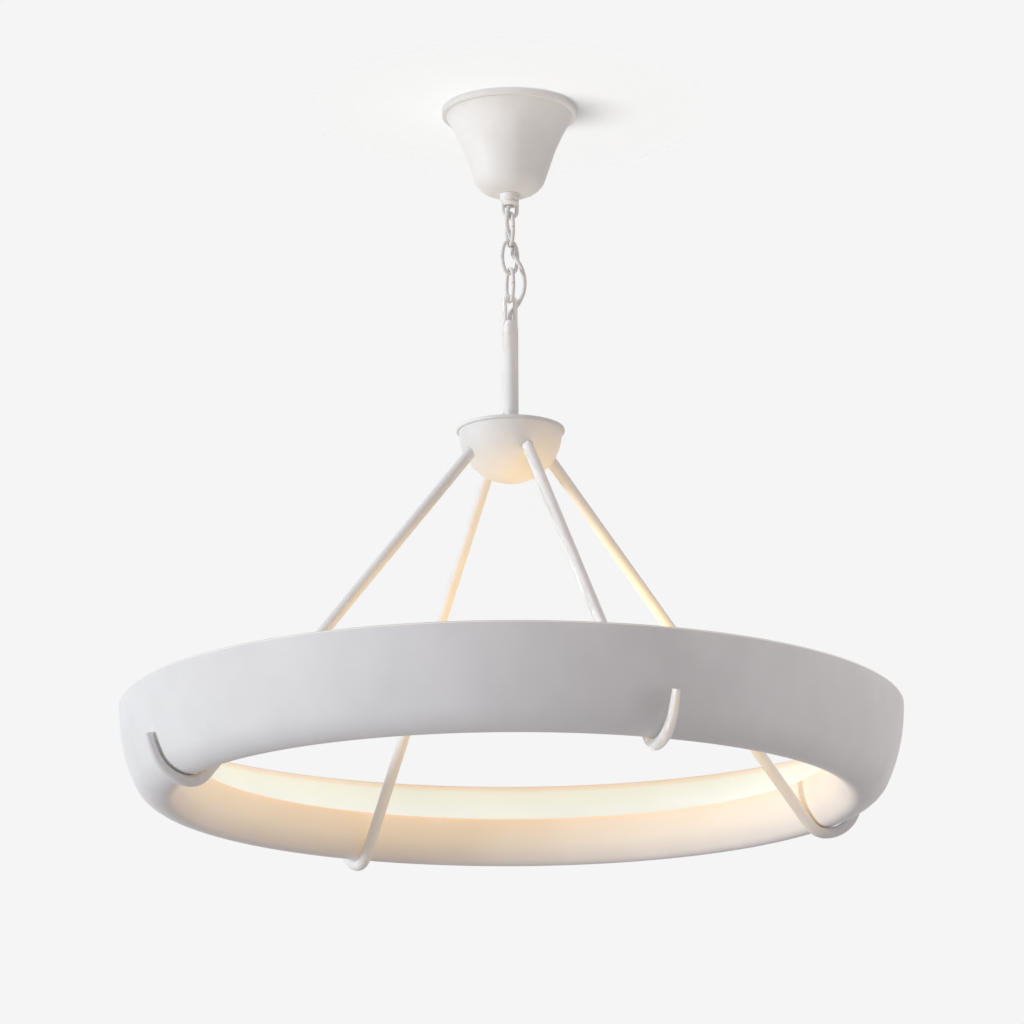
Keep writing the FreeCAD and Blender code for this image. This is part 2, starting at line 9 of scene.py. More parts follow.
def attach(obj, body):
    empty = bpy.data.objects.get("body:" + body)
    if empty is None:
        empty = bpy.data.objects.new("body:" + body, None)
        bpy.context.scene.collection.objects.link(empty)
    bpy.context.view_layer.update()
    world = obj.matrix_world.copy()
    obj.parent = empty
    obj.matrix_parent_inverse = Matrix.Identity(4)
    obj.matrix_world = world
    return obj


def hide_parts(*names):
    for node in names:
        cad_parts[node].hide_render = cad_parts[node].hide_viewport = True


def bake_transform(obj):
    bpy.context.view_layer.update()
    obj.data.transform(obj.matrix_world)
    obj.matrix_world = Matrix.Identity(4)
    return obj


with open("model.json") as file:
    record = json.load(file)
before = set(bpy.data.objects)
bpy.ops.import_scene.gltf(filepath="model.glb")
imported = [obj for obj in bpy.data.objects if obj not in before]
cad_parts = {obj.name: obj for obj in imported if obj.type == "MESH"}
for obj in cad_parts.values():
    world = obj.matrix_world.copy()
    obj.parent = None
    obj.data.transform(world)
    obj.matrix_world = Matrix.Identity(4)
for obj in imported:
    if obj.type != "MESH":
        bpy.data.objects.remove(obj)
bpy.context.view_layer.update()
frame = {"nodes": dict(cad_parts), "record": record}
nodes = frame["nodes"]
scene = bpy.context.scene
print("frame loaded:", len(nodes), "nodes")


# camera
viewFrom = {
    "turn": -24.0,  # degrees round the hanging axis
    "away": 4.466,
    "height": -1.6319,
    "tilt": 0.2594,  # radians, looking up
    "pan": 0.0003,
    "roll": -0.0035,
    "sensor": 36.0,
    "lens": 154.605,
}


def makeCamera(spec):
    turn = math.radians(spec["turn"])
    data = bpy.data.cameras.new("camera")
    data.sensor_width = spec["sensor"]
    data.lens = spec["lens"]
    camera = bpy.data.objects.new("camera", data)
    scene.collection.objects.link(camera)
    aim = Matrix.Rotation(turn - spec["pan"], 4, "Z")
    aim = aim @ Matrix.Rotation(math.pi / 2 + spec["tilt"], 4, "X")
    aim = aim @ Matrix.Rotation(spec["roll"], 4, "Z")
    place = Vector((math.sin(turn) * spec["away"], -math.cos(turn) * spec["away"], spec["height"]))
    camera.matrix_world = Matrix.Translation(place) @ aim
    scene.camera = camera


makeCamera(viewFrom)
scene.view_settings.view_transform = "Standard"
print("camera set")


# shader helpers
def link(tree, source, target):
    tree.links.new(source, target)


def newMaterial(name):
    material = bpy.data.materials.new(name)
    material.use_nodes = True
    tree = material.node_tree
    return material, tree, tree.nodes["Principled BSDF"]


def noise(tree, scale, detail=3.0, roughness=0.5):
    place = tree.nodes.get("place") or tree.nodes.new("ShaderNodeTexCoord")
    place.name = "place"
    node = tree.nodes.new("ShaderNodeTexNoise")
    node.inputs["Scale"].default_value = scale
    node.inputs["Detail"].default_value = detail
    node.inputs["Roughness"].default_value = roughness
    link(tree, place.outputs["Object"], node.inputs["Vector"])
    return node.outputs["Fac"]


def ramp(tree, source, low, high, fromLow=0.35, fromHigh=0.65):
    node = tree.nodes.new("ShaderNodeMapRange")
    node.inputs["From Min"].default_value = fromLow
    node.inputs["From Max"].default_value = fromHigh
    node.inputs["To Min"].default_value = low
    node.inputs["To Max"].default_value = high
    link(tree, source, node.inputs["Value"])
    return node.outputs["Result"]


def blendColour(tree, factor, first, second):
    node = tree.nodes.new("ShaderNodeMix")
    node.data_type = "RGBA"
    node.inputs[6].default_value = (*first, 1.0)
    node.inputs[7].default_value = (*second, 1.0)
    link(tree, factor, node.inputs[0])
    return node.outputs[2]


def bump(tree, shader, height, strength, distance):
    node = tree.nodes.new("ShaderNodeBump")
    node.inputs["Strength"].default_value = strength
    node.inputs["Distance"].default_value = distance
    link(tree, height, node.inputs["Height"])
    link(tree, node.outputs["Normal"], shader.inputs["Normal"])


# finishes: two tones in soft clouds, and a fine grain for the roughness and the bump
grainLook = {"detail": 4.0, "roughness": 0.6, "bumpStrength": 0.25}
finishes = {
    "whitePaint": {
        "pale": (0.86, 0.855, 0.845), "deep": (0.82, 0.815, 0.805), "cloud": 28.0, "grain": 900.0,
        "rough": (0.5, 0.62), "bumpSize": 0.00003},
    "ringPlaster": {
        "pale": (0.86, 0.855, 0.85), "deep": (0.81, 0.805, 0.8), "cloud": 14.0, "grain": 500.0,
        "rough": (0.7, 0.85), "bumpSize": 0.0001},
    "opalDiffuser": {
        "pale": (0.95, 0.92, 0.84), "deep": (0.93, 0.9, 0.81), "cloud": 40.0, "grain": 700.0,
        "rough": (0.45, 0.55), "bumpSize": 0.0001},
    "cordSheath": {
        "pale": (0.84, 0.84, 0.83), "deep": (0.8, 0.8, 0.79), "cloud": 60.0, "grain": 900.0,
        "rough": (0.38, 0.5), "bumpSize": 0.0002},
    "whitePlastic": {
        "pale": (0.86, 0.86, 0.84), "deep": (0.82, 0.82, 0.8), "cloud": 60.0, "grain": 1200.0,
        "rough": (0.45, 0.6), "bumpSize": 0.0001},
    "driverCase": {
        "pale": (0.78, 0.78, 0.77), "deep": (0.74, 0.74, 0.73), "cloud": 50.0, "grain": 1100.0,
        "rough": (0.5, 0.65), "bumpSize": 0.0002},
    "castAluminium": {
        "pale": (0.7, 0.7, 0.71), "deep": (0.62, 0.62, 0.63), "cloud": 60.0, "grain": 600.0,
        "rough": (0.35, 0.5), "bumpSize": 0.0003, "metal": 1.0},
    "zincSteel": {
        "pale": (0.64, 0.64, 0.65), "deep": (0.55, 0.55, 0.55), "cloud": 90.0, "grain": 800.0,
        "rough": (0.28, 0.42), "bumpSize": 0.0001, "metal": 1.0},
    "greenPaint": {
        "pale": (0.05, 0.34, 0.12), "deep": (0.04, 0.28, 0.1), "cloud": 200.0, "grain": 900.0,
        "rough": (0.35, 0.5), "bumpSize": 0.0001},
    "lampPhosphor": {
        "pale": (0.95, 0.78, 0.42), "deep": (0.92, 0.72, 0.36), "cloud": 300.0, "grain": 1200.0,
        "rough": (0.5, 0.6), "bumpSize": 0.0001},
}
slotFinish = {
    "white_paint": "whitePaint", "ring_resin": "ringPlaster", "opal_diffuser": "opalDiffuser",
    "led_phosphor": "lampPhosphor", "white_plastic": "whitePlastic", "cord_sheath": "cordSheath",
    "driver_case": "driverCase", "cast_aluminium": "castAluminium", "zinc_steel": "zincSteel",
    "green_paint": "greenPaint",
}


def makeFinish(name, spec):
    material, tree, shader = newMaterial(name)
    shader.inputs["Metallic"].default_value = spec.get("metal", 0.0)
    clouds = ramp(tree, noise(tree, spec["cloud"]), 0.0, 1.0)
    fine = noise(tree, spec["grain"], grainLook["detail"], grainLook["roughness"])
    link(tree, blendColour(tree, clouds, spec["pale"], spec["deep"]), shader.inputs["Base Color"])
    link(tree, ramp(tree, fine, *spec["rough"]), shader.inputs["Roughness"])
    bump(tree, shader, fine, grainLook["bumpStrength"], spec["bumpSize"])
    return material


made = {name: makeFinish(name, spec) for name, spec in finishes.items()}
for subpart in frame["record"]["subparts"]:
    node = nodes[subpart["node"]]
    node.data.materials.clear()
    node.data.materials.append(made[slotFinish[subpart["material_slot"]]])
print("finishes set:", len(made))

# painted light: an emission laid on the ring by the place on its section, standing in for the light that
# comes through and over the ring's walls
ringPaintedLight = [
    (0.0, (0.0, 0.0, 0.0)), (0.33, (0.0, 0.0, 0.0)), (0.36, (0.1, 0.05, 0.0)),
    (0.43, (0.29, 0.18, 0.05)), (0.49, (0.39, 0.23, 0.05)), (0.497, (0.46, 0.23, 0.02)),
    (0.511, (0.46, 0.23, 0.02)), (0.52, (0.45, 0.38, 0.22)), (0.64, (0.45, 0.38, 0.22)),
    (0.822, (0.18, 0.27, 0.33)), (0.965, (0.26, 0.29, 0.19)), (0.978, (0.3, 0.16, 0.02)),
    (0.988, (0.26, 0.12, 0.01)), (0.9905, (0.0, 0.0, 0.0)),
]
diffuserGlow = {"colour": (1.0, 0.8, 0.5), "strength": 0.6}


# paints light onto a surface: an emission colour ramped along the place on the section
def paintSectionLight(material, stops):
    tree = material.node_tree
    shader = tree.nodes["Principled BSDF"]
    place = tree.nodes.new("ShaderNodeAttribute")
    place.attribute_name = "section"
    colours = tree.nodes.new("ShaderNodeValToRGB")
    elements = colours.color_ramp.elements
    elements.remove(elements[1])
    elements[0].position = stops[0][0]
    elements[0].color = (*stops[0][1], 1.0)
    for position, colour in stops[1:]:
        elements.new(position).color = (*colour, 1.0)
    link(tree, place.outputs["Fac"], colours.inputs["Fac"])
    link(tree, colours.outputs["Color"], shader.inputs["Emission Color"])
    shader.inputs["Emission Strength"].default_value = 1.0


def addEvenGlow(material, spec):
    shader = material.node_tree.nodes["Principled BSDF"]
    shader.inputs["Emission Color"].default_value = (*spec["colour"], 1.0)
    shader.inputs["Emission Strength"].default_value = spec["strength"]


# the ring is no lamp: its lit band, lips and inner wall are painted light
paintSectionLight(made["ringPlaster"], ringPaintedLight)
addEvenGlow(made["opalDiffuser"], diffuserGlow)
for name in ("ringPlaster", "opalDiffuser"):
    made[name].cycles.emission_sampling = "NONE"  # broad dim glow, found well enough by chance
print("glow set")


# cord from the hang loop through the links to the stem loop, in metres
cord = {
    "diameter": 0.0048,
    "sides": 20,
    "smoothness": 8,  # points read for each point of the route
    "route": [
        (0.0, 0.0, -0.0985), (0.0, 0.0, -0.1024), (-0.0007, -0.0007, -0.1065),
        (-0.0022, -0.0021, -0.1103), (-0.0045, -0.0045, -0.1152), (-0.0056, -0.0054, -0.1209),
        (-0.0056, -0.0045, -0.1269),
        (-0.0039, -0.0022, -0.1324), (0.0, 0.0015, -0.1372), (0.0033, 0.0041, -0.1422),
        (0.005, 0.0051, -0.1483), (0.0048, 0.0045, -0.1547), (0.0037, 0.0018, -0.1603),
        (0.0041, -0.0021, -0.1652), (0.0066, -0.0049, -0.1703), (0.0099, -0.0059, -0.176),
        (0.0129, -0.0053, -0.1824), (0.0153, -0.0036, -0.1892), (0.0164, -0.0013, -0.1962),
        (0.016, 0.0013, -0.2031), (0.0141, 0.0037, -0.2097), (0.011, 0.0053, -0.216),
        (0.0065, 0.006, -0.2209), (0.0024, 0.0041, -0.2257), (0.0004, 0.0015, -0.2308),
        (0.0, 0.0, -0.2362), (0.0, 0.0, -0.241)],
    # name, bodies that it bends between, heights where the bend starts and stops, height where it ends
    "stretches": [
        ("cord_at_loop", "ceiling_mount", "chain_link_1", -0.111, -0.131, -0.137),
        ("cord_at_first_link", "chain_link_1", "chain_link_2", -0.142, -0.162, -0.168),
        ("cord_at_second_link", "chain_link_2", "chain_link_3", -0.173, -0.193, -0.199),
        ("cord_at_stem", "chain_link_3", "fixture", -0.204, -0.225, -0.25)],
}


def splinePoints(route, smoothness):
    curve = bpy.data.curves.new("cordLine", "CURVE")
    curve.dimensions = "3D"
    spline = curve.splines.new("NURBS")
    spline.points.add(len(route) - 1)
    for point, place in zip(spline.points, route):
        point.co = (*place, 1.0)
    spline.order_u = 3
    spline.use_endpoint_u = True
    spline.resolution_u = smoothness
    line = bpy.data.objects.new("cordLine", curve)
    scene.collection.objects.link(line)
    bpy.context.view_layer.update()
    mesh = bpy.data.meshes.new_from_object(line)
    points = [v.co.copy() for v in mesh.vertices]
    bpy.data.objects.remove(line)
    return points


def tubeAlong(name, points, radius, sides):
    mesh = bpy.data.meshes.new(name)
    shape = bmesh.new()
    heading = (points[1] - points[0]).normalized()
    across = heading.orthogonal().normalized()
    rings = []
    for index, point in enumerate(points):
        before = points[max(index - 1, 0)]
        after = points[min(index + 1, len(points) - 1)]
        turned = (after - before).normalized()
        across = (heading.rotation_difference(turned) @ across).normalized()
        heading = turned
        other = heading.cross(across)
        rounds = []
        for i in range(sides):
            turn = 2 * math.pi * i / sides
            spoke = math.cos(turn) * across + math.sin(turn) * other
            rounds.append(shape.verts.new(point + radius * spoke))
        rings.append(rounds)
    for first, second in zip(rings, rings[1:]):
        for i in range(sides):
            j = (i + 1) % sides
            shape.faces.new((first[i], first[j], second[j], second[i])).smooth = True
    shape.faces.new(rings[0][::-1])
    shape.faces.new(rings[-1])
    bmesh.ops.recalc_face_normals(shape, faces=shape.faces)
    shape.to_mesh(mesh)
    shape.free()
    piece = bpy.data.objects.new(name, mesh)
    scene.collection.objects.link(piece)
    return piece


def makeCord(spec):
    points = splinePoints(spec["route"], spec["smoothness"])
    start = 0
    for name, above, below, bendTop, bendLow, last in spec["stretches"]:
        stop = max(i for i, p in enumerate(points) if p.z >= last)
        path = points[start:stop + 1]
        piece = tubeAlong(name, path, spec["diameter"] / 2, spec["sides"])
        piece.data.materials.append(made["cordSheath"])
        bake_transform(piece)
        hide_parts("power_cord")
        start = stop


makeCord(cord)


# geometry node helpers
crispAngle = 0.6  # radians, a sharper edge than this isn't smoothed


def newTree(name, inputs):
    tree = bpy.data.node_groups.new(name, "GeometryNodeTree")
    for label, kind in inputs:
        tree.interface.new_socket(label, in_out="INPUT", socket_type=kind)
    tree.interface.new_socket("Geometry", in_out="OUTPUT", socket_type="NodeSocketGeometry")
    return tree, tree.nodes.new("NodeGroupInput"), tree.nodes.new("NodeGroupOutput")


def closeTree(tree, given, result, geometry):
    faces = tree.nodes.new("GeometryNodeSetShadeSmooth")
    link(tree, geometry, faces.inputs["Geometry"])
    angle = tree.nodes.new("GeometryNodeInputMeshEdgeAngle")
    sharp = tree.nodes.new("FunctionNodeCompare")
    sharp.operation = "GREATER_THAN"
    sharp.inputs[1].default_value = crispAngle
    link(tree, angle.outputs["Unsigned Angle"], sharp.inputs[0])
    edges = tree.nodes.new("GeometryNodeSetShadeSmooth")
    edges.domain = "EDGE"
    edges.inputs["Shade Smooth"].default_value = False
    link(tree, faces.outputs["Geometry"], edges.inputs["Geometry"])
    link(tree, sharp.outputs["Result"], edges.inputs["Selection"])
    real = tree.nodes.new("GeometryNodeRealizeInstances")
    link(tree, edges.outputs["Geometry"], real.inputs["Geometry"])
    paint = tree.nodes.new("GeometryNodeSetMaterial")
    link(tree, real.outputs["Geometry"], paint.inputs["Geometry"])
    link(tree, given.outputs["Finish"], paint.inputs["Material"])
    link(tree, paint.outputs["Geometry"], result.inputs["Geometry"])


def objectShape(tree, source):
    info = tree.nodes.new("GeometryNodeObjectInfo")
    link(tree, source, info.inputs["Object"])
    return info.outputs["Geometry"]


def grow(name, tree, values, body, slot, *stoodFor):
    maker = bpy.data.objects.new("maker", bpy.data.meshes.new("maker"))
    scene.collection.objects.link(maker)
    modifier = maker.modifiers.new("grow", "NODES")
    modifier.node_group = tree
    for item in tree.interface.items_tree:
        if item.in_out == "INPUT":
            modifier[item.identifier] = values[item.name]
    bpy.context.view_layer.update()
    shown = maker.evaluated_get(bpy.context.evaluated_depsgraph_get())
    mesh = bpy.data.meshes.new_from_object(shown)
    bpy.data.objects.remove(maker)
    mesh.name = name
    piece = bpy.data.objects.new(name, mesh)
    scene.collection.objects.link(piece)
    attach(piece, body)
    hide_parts(*stoodFor)
    print(name, len(mesh.polygons), "faces")
    return piece


def lineObject(name, points, closed, sizes=None):
    curve = bpy.data.curves.new(name, "CURVE")
    curve.dimensions = "3D"
    spline = curve.splines.new("POLY")
    spline.points.add(len(points) - 1)
    for point, place in zip(spline.points, points):
        point.co = (*place, 1.0)
    for point, size in zip(spline.points, sizes or []):
        point.radius = size
    spline.use_cyclic_u = closed
    line = bpy.data.objects.new(name, curve)
    scene.collection.objects.link(line)
    return line


def bendPoint(centre, radius, angle):  # 0 on the outer side, 90 at the bottom, 180 on the inner side
    turn = math.radians(angle)
    return Vector((centre[0] + radius * math.cos(turn), centre[1] - radius * math.sin(turn)))


def bend(centre, radius, start, stop, steps):
    return [bendPoint(centre, radius, start + (stop - start) * i / steps) for i in range(steps + 1)]


# ring: its section swept round the axis, with the place on the section kept for the painted light
ring = {
    "top": -0.660, "radius": 0.406, "height": 0.0985, "wall": 0.004,
    "belly": 0.0486, "bellyRound": 0.035,  # outer wall: how far it goes in, and its lower bend
    "toe": 0.0274, "toeRound": 0.0142, "innerDrop": 0.0504,  # the same for the low inner wall
    "steps": 320, "arcSteps": 14, "lipSteps": 8,
}


def uprightArc(small, run, rise):
    over, high = run - small, rise - small
    reach = (over ** 2 + high ** 2) / (2 * over)
    return small + reach, math.degrees(math.atan2(high, reach - over))


def ringBends(spec):
    lip, low = spec["wall"] / 2, spec["top"] - spec["height"]
    outerEnd, innerEnd = spec["top"] - lip, spec["top"] - spec["innerDrop"] - lip
    lowRadius = spec["radius"] - spec["belly"]
    innerRadius = lowRadius - spec["toe"]
    wallBend, wallTurn = uprightArc(spec["bellyRound"], spec["belly"], outerEnd - low)
    innerBend, innerTurn = uprightArc(spec["toeRound"], spec["toe"], innerEnd - low)
    return [((spec["radius"] - wallBend, outerEnd), wallBend, 0.0, wallTurn),
            ((lowRadius, low + spec["bellyRound"]), spec["bellyRound"], wallTurn, 90.0),
            ((lowRadius, low + spec["toeRound"]), spec["toeRound"], 90.0, 180.0 - innerTurn),
            ((innerRadius + innerBend, innerEnd), innerBend, 180.0 - innerTurn, 180.0)]


def ringSection(spec):
    lip, wall, steps = spec["wall"] / 2, spec["wall"], spec["arcSteps"]
    outside, inside = [], []
    for centre, radius, start, stop in ringBends(spec):
        outside += bend(centre, radius, start, stop, steps)[:-1]
        inside += bend(centre, radius - wall, start, stop, steps)[1:]
    innerCentre = bendPoint(*ringBends(spec)[3][:2], 180.0) + Vector((lip, 0.0))
    outerCentre = outside[0] - Vector((lip, 0.0))
    innerLip = bend(innerCentre, lip, 180.0, 360.0, spec["lipSteps"])
    outerLip = bend(outerCentre, lip, 180.0, 360.0, spec["lipSteps"])
    return outside + innerLip + inside[-2::-1] + outerLip[:-1]


turnedTree, given, result = newTree("turnedSection", [
    ("Section", "NodeSocketObject"), ("Radius", "NodeSocketFloat"), ("Steps", "NodeSocketInt"),
    ("Finish", "NodeSocketMaterial")])
along = turnedTree.nodes.new("GeometryNodeSplineParameter")
keep = turnedTree.nodes.new("GeometryNodeStoreNamedAttribute")
keep.inputs["Name"].default_value = "section"
link(turnedTree, objectShape(turnedTree, given.outputs["Section"]), keep.inputs["Geometry"])
link(turnedTree, along.outputs["Factor"], keep.inputs["Value"])
circle = turnedTree.nodes.new("GeometryNodeCurvePrimitiveCircle")
link(turnedTree, given.outputs["Steps"], circle.inputs["Resolution"])
link(turnedTree, given.outputs["Radius"], circle.inputs["Radius"])
sweep = turnedTree.nodes.new("GeometryNodeCurveToMesh")
link(turnedTree, circle.outputs["Curve"], sweep.inputs["Curve"])
link(turnedTree, keep.outputs["Geometry"], sweep.inputs["Profile Curve"])
closeTree(turnedTree, given, result, sweep.outputs["Mesh"])


def makeRing(spec):
    middle = spec["radius"] - spec["belly"]
    outline = [(p.x - middle, -p.y, 0.0) for p in ringSection(spec)]
    section = lineObject("ringSection", outline, True)
    grow("ring_shade_glow", turnedTree, {
        "Section": section, "Radius": middle, "Steps": spec["steps"], "Finish": made["ringPlaster"]},
        "fixture", "ring_resin", "ring_shade")
    bpy.data.objects.remove(section)


makeRing(ring)


# chain: an open oval of bar with a butt split, one for each body
chain = {
    "length": 0.040, "width": 0.022, "wire": 0.0042, "endRound": 0.007, "split": 0.0007,
    "sides": 20, "sideSteps": 16, "endSteps": 28,
    "links": [  # name, height of its top, turn in degrees
        ("chain_link_1", -0.1143, 90.0), ("chain_link_2", -0.1456, 0.0), ("chain_link_3", -0.1769, 90.0)],
}

sweptTree, given, result = newTree("sweptWire", [
    ("Path", "NodeSocketObject"), ("Wire", "NodeSocketFloat"), ("Sides", "NodeSocketInt"),
    ("Turn", "NodeSocketFloat"), ("Height", "NodeSocketFloat"), ("Finish", "NodeSocketMaterial")])
circle = sweptTree.nodes.new("GeometryNodeCurvePrimitiveCircle")
link(sweptTree, given.outputs["Sides"], circle.inputs["Resolution"])
link(sweptTree, given.outputs["Wire"], circle.inputs["Radius"])
sweep = sweptTree.nodes.new("GeometryNodeCurveToMesh")
sweep.inputs["Fill Caps"].default_value = True
size = sweptTree.nodes.new("GeometryNodeInputRadius")
link(sweptTree, size.outputs["Radius"], sweep.inputs["Scale"])
link(sweptTree, objectShape(sweptTree, given.outputs["Path"]), sweep.inputs["Curve"])
link(sweptTree, circle.outputs["Curve"], sweep.inputs["Profile Curve"])
lift = sweptTree.nodes.new("ShaderNodeCombineXYZ")
link(sweptTree, given.outputs["Height"], lift.inputs["Z"])
spin = sweptTree.nodes.new("ShaderNodeCombineXYZ")
link(sweptTree, given.outputs["Turn"], spin.inputs["Z"])
move = sweptTree.nodes.new("GeometryNodeTransform")
link(sweptTree, sweep.outputs["Mesh"], move.inputs["Geometry"])
link(sweptTree, lift.outputs["Vector"], move.inputs["Translation"])
link(sweptTree, spin.outputs["Vector"], move.inputs["Rotation"])
closeTree(sweptTree, given, result, move.outputs["Geometry"])


def linkPath(spec):
    bar = spec["wire"] / 2
    halfLength, halfWidth = spec["length"] / 2 - bar, spec["width"] / 2 - bar
    endAway = halfLength - spec["endRound"]
    span = halfWidth ** 2 + endAway ** 2 - spec["endRound"] ** 2
    sideRound = span / (2 * (halfWidth - spec["endRound"]))
    sideAway = sideRound - halfWidth
    meet = math.degrees(math.atan2(endAway, sideAway))
    gap = math.degrees(spec["split"] / 2 / sideRound)
    endRound, steps, endSteps = spec["endRound"], spec["sideSteps"], spec["endSteps"]
    path = bend((sideAway, 0.0), sideRound, 180.0 + gap, 180.0 + meet, steps // 2)
    path += bend((0.0, endAway), endRound, 180.0 + meet, 360.0 - meet, endSteps)[1:]
    path += bend((-sideAway, 0.0), sideRound, -meet, meet, steps)[1:]
    path += bend((0.0, -endAway), endRound, meet, 180.0 - meet, endSteps)[1:]
    path += bend((sideAway, 0.0), sideRound, 180.0 - meet, 180.0 - gap, steps // 2)[1:]
    return [(p.x, 0.0, p.y) for p in path]


def makeChain(spec):
    path = lineObject("linkPath", linkPath(spec), False)
    for name, top, turn in spec["links"]:
        grow(name + "_bar", sweptTree, {
            "Path": path, "Wire": spec["wire"] / 2, "Sides": spec["sides"], "Turn": math.radians(turn),
            "Height": top - spec["length"] / 2, "Finish": made["whitePaint"]}, name, "white_paint", name)
    bpy.data.objects.remove(path)


makeChain(chain)


# arms: a straight bar, then a hook that follows the ring's section and thins towards its cut end
arms = {
    "seat": (0.033, -0.370),  # away from the axis, and height
    "radius": 0.006, "tip": 0.0042, "tipEdge": 0.0006, "tipTurns": (0.0, 30.0, 60.0, 90.0),
    "gap": 0.0003, "hookEndDrop": 0.058,
    "tenon": (0.0042, 0.008), "shoulder": 0.00001,  # tenon's radius and length
    "straightSteps": 44, "hookSteps": 22, "sides": 28,
    "turns": {
        "arm_back_right": -2.0, "arm_back_left": 94.0, "arm_front_left": 182.0, "arm_front_right": 269.0},
}


def hookTouch(spec, section):  # where the straight bar starts to bend round the ring
    seat, offset = Vector(spec["seat"]), spec["radius"] + spec["gap"]
    for centre, radius, start, stop in ringBends(section)[:1:-1]:
        away = seat - Vector(centre)
        bearing = math.degrees(math.atan2(-away.y, away.x)) % 360
        angle = bearing - math.degrees(math.acos((radius + offset) / away.length))
        if start <= angle <= stop:
            return bendPoint(centre, radius + offset, angle), angle


def softTip(spec, end, back):  # places and sizes of the cut end's rounded edge
    places, sizes = [], []
    for turn in spec["tipTurns"]:
        places.append(end + back * spec["tipEdge"] * (1 - math.sin(math.radians(turn))))
        sizes.append(spec["tip"] - spec["tipEdge"] * (1 - math.cos(math.radians(turn))))
    return places, sizes


def hookPath(spec, section):
    seat, offset = Vector(spec["seat"]), spec["radius"] + spec["gap"]
    bends = ringBends(section)
    touch, angle = hookTouch(spec, section)
    heading = (touch - seat).normalized()
    steps = spec["straightSteps"]
    places = [seat - heading * spec["tenon"][1], seat - heading * spec["shoulder"]]
    places += [seat.lerp(touch, i / steps) for i in range(steps + 1)]
    for centre, radius, start, stop in bends[:1:-1]:
        if start < angle:
            places += bend(centre, radius + offset, angle, start, spec["hookSteps"])[1:]
            angle = start
    sizes = [spec["tenon"][0]] * 2 + [spec["radius"]] * (len(places) - 2)
    hook = []
    endAngle = math.degrees(math.asin((spec["hookEndDrop"] - section["wall"] / 2) / bends[0][1]))
    for centre, radius, start, stop in bends[1::-1]:
        hook += bend(centre, radius + offset, stop, max(start, endAngle), spec["hookSteps"])[1:]
    runs = [(b - a).length for a, b in zip([places[-1]] + hook, hook)]
    thin = spec["tip"] - spec["radius"]
    sizes += [spec["radius"] + thin * sum(runs[:i + 1]) / sum(runs) for i in range(len(hook) - 1)]
    back = (hook[-2] - hook[-1]).normalized()
    tipPlaces, tipSizes = softTip(spec, hook[-1], back)
    places += hook[:-1] + tipPlaces
    sizes += tipSizes
    return [(p.x, 0.0, p.y) for p in places], sizes


def makeArms(spec, section):
    places, sizes = hookPath(spec, section)
    path = lineObject("hookPath", places, False, sizes)
    for name, turn in spec["turns"].items():
        grow(name + "_bar", sweptTree, {
            "Path": path, "Wire": 1.0, "Sides": spec["sides"], "Turn": math.radians(turn), "Height": 0.0,
            "Finish": made["whitePaint"]}, "fixture", "white_paint", name)
    bpy.data.objects.remove(path)


makeArms(arms, ring)


# stage: floor, ceiling round the canopy, sky and lamps
stage = {
    "background": 0.913,
    "floorHeight": -2.6,
    "floorReach": 30.0,
    "floorColour": (0.6, 0.6, 0.6),
    "floorGlow": (0.527, 0.553, 0.547),
    "roughness": 0.9,
    "skyAbove": 0.72,
    "skyLevel": 0.32,  # at the horizon
    "skyTint": (1.0, 0.925, 0.94),
    "ceilingFade": 0.13,
    "ceilingReach": 0.26,  # it fades out from the first to the second
    "ceilingHeight": 0.0006,
    "ceilingHole": 0.072,  # open over the canopy, so light reaches its inside
    "ceilingSides": 96,
    "ceilingColour": (0.8, 0.8, 0.8),
    "ceilingGlow": (0.122, 0.145, 0.151),
}


def seenDirectly(tree):
    path = tree.nodes.new("ShaderNodeLightPath")
    last = path.outputs["Is Camera Ray"]
    for name in ("Is Glossy Ray", "Is Transmission Ray"):
        either = tree.nodes.new("ShaderNodeMath")
        either.operation = "MAXIMUM"
        link(tree, last, either.inputs[0])
        link(tree, path.outputs[name], either.inputs[1])
        last = either.outputs[0]
    return last


def paleStage(name, colour, glow, roughness):
    material, tree, shader = newMaterial(name)
    shader.inputs["Base Color"].default_value = (*colour, 1.0)
    shader.inputs["Roughness"].default_value = roughness
    shader.inputs["Specular IOR Level"].default_value = 0.0
    shader.inputs["Emission Color"].default_value = (*glow, 1.0)
    link(tree, seenDirectly(tree), shader.inputs["Emission Strength"])
    material.cycles.emission_sampling = "NONE"  # it lights nothing, so it isn't sampled as a lamp
    return material, tree, shader


def seeThrough(tree, shader, share):
    through = tree.nodes.new("ShaderNodeBsdfTransparent")
    mix = tree.nodes.new("ShaderNodeMixShader")
    link(tree, share, mix.inputs["Fac"])
    link(tree, shader.outputs["BSDF"], mix.inputs[1])
    link(tree, through.outputs["BSDF"], mix.inputs[2])
    link(tree, mix.outputs["Shader"], tree.nodes["Material Output"].inputs["Surface"])


def stagePiece(name, corners, faces, material):
    mesh = bpy.data.meshes.new(name)
    mesh.from_pydata(corners, [], faces)
    mesh.materials.append(material)
    piece = bpy.data.objects.new(name, mesh)
    scene.collection.objects.link(piece)
    return piece


def makeFloor(spec):
    material, tree, shader = paleStage(
        "paleFloor", spec["floorColour"], spec["floorGlow"], spec["roughness"])
    facing = tree.nodes.new("ShaderNodeNewGeometry")
    seeThrough(tree, shader, facing.outputs["Backfacing"])  # clear from below, for views from there
    reach, height = spec["floorReach"], spec["floorHeight"]
    sides = [(-reach, -reach), (reach, -reach), (reach, reach), (-reach, reach)]
    corners = [(x, y, height) for x, y in sides]
    floor = stagePiece("floor", corners, [(0, 1, 2, 3)], material)
    floor.visible_shadow = False  # the lamps that stand low shine through it


